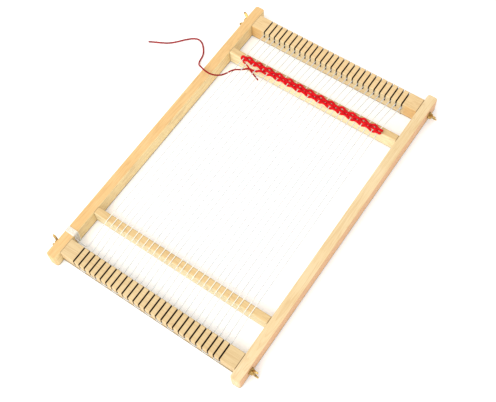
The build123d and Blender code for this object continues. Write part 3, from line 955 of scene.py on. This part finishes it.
STACK_GAP = 0.05 * MM
WASHER_THICK = 0.8 * MM
WASHER_BORE_R = 2.15 * MM
WASHER_R = 4.5 * MM
NUT_SEAT = 2 * STACK_GAP + WASHER_THICK
NUT_BORE_R = 2.06 * MM
STUD_INNER_END = -26.0 * MM
STUD_TIP = 5.35 * MM
THREAD_MAJOR_R = 2.0 * MM
THREAD_MINOR_R = 1.62 * MM
THREAD_PITCH = 0.7 * MM
WING_ROOT_THICK = 1.10     # half thickness at the root and its loss per mm of reach, in mm
WING_THINNING = 0.06
WING_ROOT_REACH = 2.4

# Degrees that each nut's wings are turned about its axis, the same as in part.py.
WING_ANGLES = {"near_left": 68, "near_right": 88, "far_left": 45, "far_right": 115}

# Outline of one wing from its root round the ear's tip, as (along the axis, reach), in mm.
WING_OUTLINE = [(0.70, 2.4), (0.65, 3.2), (1.0, 4.2), (1.8, 5.6), (3.1, 7.0), (4.8, 8.1),
                (6.6, 8.75), (7.9, 8.65), (8.55, 7.9), (8.5, 6.7), (7.6, 5.7), (6.2, 4.8),
                (4.8, 3.9), (3.8, 3.1), (3.2, 2.4)]

# Rounding of a wing's faces, as (share of the outline about its middle, share of thickness).
WING_ROUNDING = [(1.0, 0.0), (0.985, 0.42), (0.93, 0.78), (0.84, 0.96), (0.62, 1.0), (0.30, 0.92)]


def washer_mesh():
    """Stamped ring, rolled over on one edge, slightly sharp on the other."""
    low, high = STACK_GAP, STACK_GAP + WASHER_THICK
    edge = 0.22 * MM
    profile = [(low, WASHER_BORE_R), (low, WASHER_R - 0.06 * MM), (low + 0.06 * MM, WASHER_R)]
    for k in range(5):
        angle = math.pi / 2 * k / 4
        profile.append((high - edge + edge * math.sin(angle),
                        WASHER_R - edge + edge * math.cos(angle)))
    profile += [(high, WASHER_BORE_R + 0.15 * MM), (high - 0.12 * MM, WASHER_BORE_R)]
    return lathe(profile, 56)


def wing_solid(sign):
    """One ear: thick at the hub, thinner and rounded at the rim."""
    outline = [Vector((x * MM, y * MM, 0)) for x, y in WING_OUTLINE]
    centre = Vector((4.8 * MM, 5.6 * MM, 0))
    verts = []
    faces = []
    count = len(outline)
    layers = []
    for side in (1, -1):
        for inset, height in WING_ROUNDING if side > 0 else WING_ROUNDING[1:]:
            ring = []
            for p in outline:
                q = centre + (p - centre) * inset
                thick = (WING_ROOT_THICK - WING_THINNING * (q.y / MM - WING_ROOT_REACH)) * MM
                ring.append(len(verts))
                verts.append(Vector((q.x, q.y, side * height * thick)))
            layers.append((side, ring))
    upper = [ring for side, ring in layers if side > 0]
    lower = [upper[0]] + [ring for side, ring in layers if side < 0]
    for chain, flip in ((upper, False), (lower, True)):
        for outer, inner in zip(chain, chain[1:]):
            for k in range(count):
                a, b = outer[k], outer[(k + 1) % count]
                c, d = inner[(k + 1) % count], inner[k]
                faces.append((a, b, c, d) if not flip else (d, c, b, a))
        hub = len(verts)
        middle = sum((verts[i] for i in chain[-1]), Vector()) / count
        verts.append(middle)
        for k in range(count):
            a, b = chain[-1][k], chain[-1][(k + 1) % count]
            faces.append((a, b, hub) if not flip else (b, a, hub))
    turn = Matrix.Identity(4) if sign > 0 else Matrix.Rotation(math.pi, 4, "X")
    return [turn @ (v + Vector((NUT_SEAT, 0, 0))) for v in verts], faces


# The hub's outer profile, as (height above the seat, radius), in mm.
HUB_PROFILE = [(0.15, 3.9), (0.60, 3.9), (0.9, 3.6), (1.8, 3.4), (2.8, 3.3), (3.2, 3.1),
               (3.4, 2.75)]
HUB_HEIGHT = 3.4 * MM
HUB_CHAMFER = 0.25 * MM


def hub_mesh():
    """Cast hub: flared foot, waist and rounded crown, bored for the stud."""
    crown = NUT_SEAT + HUB_HEIGHT
    profile = [(NUT_SEAT, NUT_BORE_R + HUB_CHAMFER), (NUT_SEAT, 3.75 * MM)]
    profile += [(NUT_SEAT + x * MM, r * MM) for x, r in HUB_PROFILE]
    profile += [(crown, NUT_BORE_R + HUB_CHAMFER), (crown - HUB_CHAMFER, NUT_BORE_R),
                (NUT_SEAT + HUB_CHAMFER, NUT_BORE_R)]
    return lathe(profile, 48)


def hardware():
    """Washer, threaded stud and wing nut at each corner."""
    for place in ("near", "far"):
        for hand in ("left", "right"):
            corner = f"{place}_{hand}"
            side = 1 if hand == "right" else -1
            seat = corner_frame(place, hand)

            verts, faces = washer_mesh()
            verts = [seat @ v for v in verts]
            ring = mesh_piece(f"{corner}_flat_washer", verts, faces, washer_brass)
            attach(ring, f"{corner}_washer")
            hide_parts(f"{corner}_washer")

            verts, faces = threaded_rod(STUD_INNER_END, STUD_TIP, THREAD_MAJOR_R,
                                        THREAD_MINOR_R, THREAD_PITCH)
            verts = [seat @ v for v in verts]
            rod = mesh_piece(f"{corner}_threaded_stud", verts, faces, stud_brass)
            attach(rod, f"{place}_beam")
            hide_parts(f"{corner}_stud")

            verts, faces = joined_tubes([hub_mesh(), wing_solid(1), wing_solid(-1)])
            spin = Matrix.Rotation(math.radians(WING_ANGLES[corner]) * side, 4, "X")
            verts = [seat @ spin @ v for v in verts]
            nut = mesh_piece(f"{corner}_butterfly_nut", verts, faces, nut_brass)
            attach(nut, f"{corner}_wing_nut")
            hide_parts(f"{corner}_wing_nut")


hardware()


# ---- floor and light ---------------------------------------------------------------------
def make_floor():
    """Pale floor that gives off a little light, so that shadows stay as faint as in the photo."""
    n = Nodes("studio_floor")
    speck = n.noise(n.mapping((1, 1, 1)), 9.0, 3.0, 0.5)
    n.link(n.ramp(speck, [(0.3, (0.90, 0.90, 0.90)), (0.7, (0.94, 0.94, 0.94))]),
           n.shader.inputs["Base Color"])
    n.shader.inputs["Roughness"].default_value = 0.9
    n.shader.inputs["Specular IOR Level"].default_value = 0.1
    n.shader.inputs["Emission Color"].default_value = (1.0, 1.0, 1.0, 1.0)
    n.shader.inputs["Emission Strength"].default_value = 0.22
    half = 6.0
    below_object = 0.0001
    corners = [(-half, -half, 0), (half, -half, 0), (half, half, 0), (-half, half, 0)]
    floor = mesh_piece("floor", [Vector(c) for c in corners], [(0, 1, 2, 3)], n.material)
    floor.location.z = -below_object


def area_light(name, place, aim, size, power, colour):
    data = bpy.data.lights.new(name, "AREA")
    data.shape = "DISK"
    data.size = size
    data.energy = power
    data.color = colour
    lamp = bpy.data.objects.new(name, data)
    lamp.location = place
    lamp.rotation_mode = "QUATERNION"
    lamp.rotation_quaternion = (Vector(aim) - Vector(place)).to_track_quat("-Z", "Y")
    bpy.context.scene.collection.objects.link(lamp)


def make_light():
    world = bpy.data.worlds.new("studio")
    world.use_nodes = True
    background = world.node_tree.nodes["Background"]
    background.inputs["Color"].default_value = (1.0, 1.0, 1.0, 1.0)
    background.inputs["Strength"].default_value = 0.88
    bpy.context.scene.world = world
    area_light("key", (-0.5, -1.6, 1.9), (0, 0, 0), 2.2, 48.0, (1.0, 0.99, 0.97))
    view = bpy.context.scene.view_settings
    view.view_transform = "Standard"
    view.look = "None"
    view.exposure = 0.0


make_floor()
make_light()
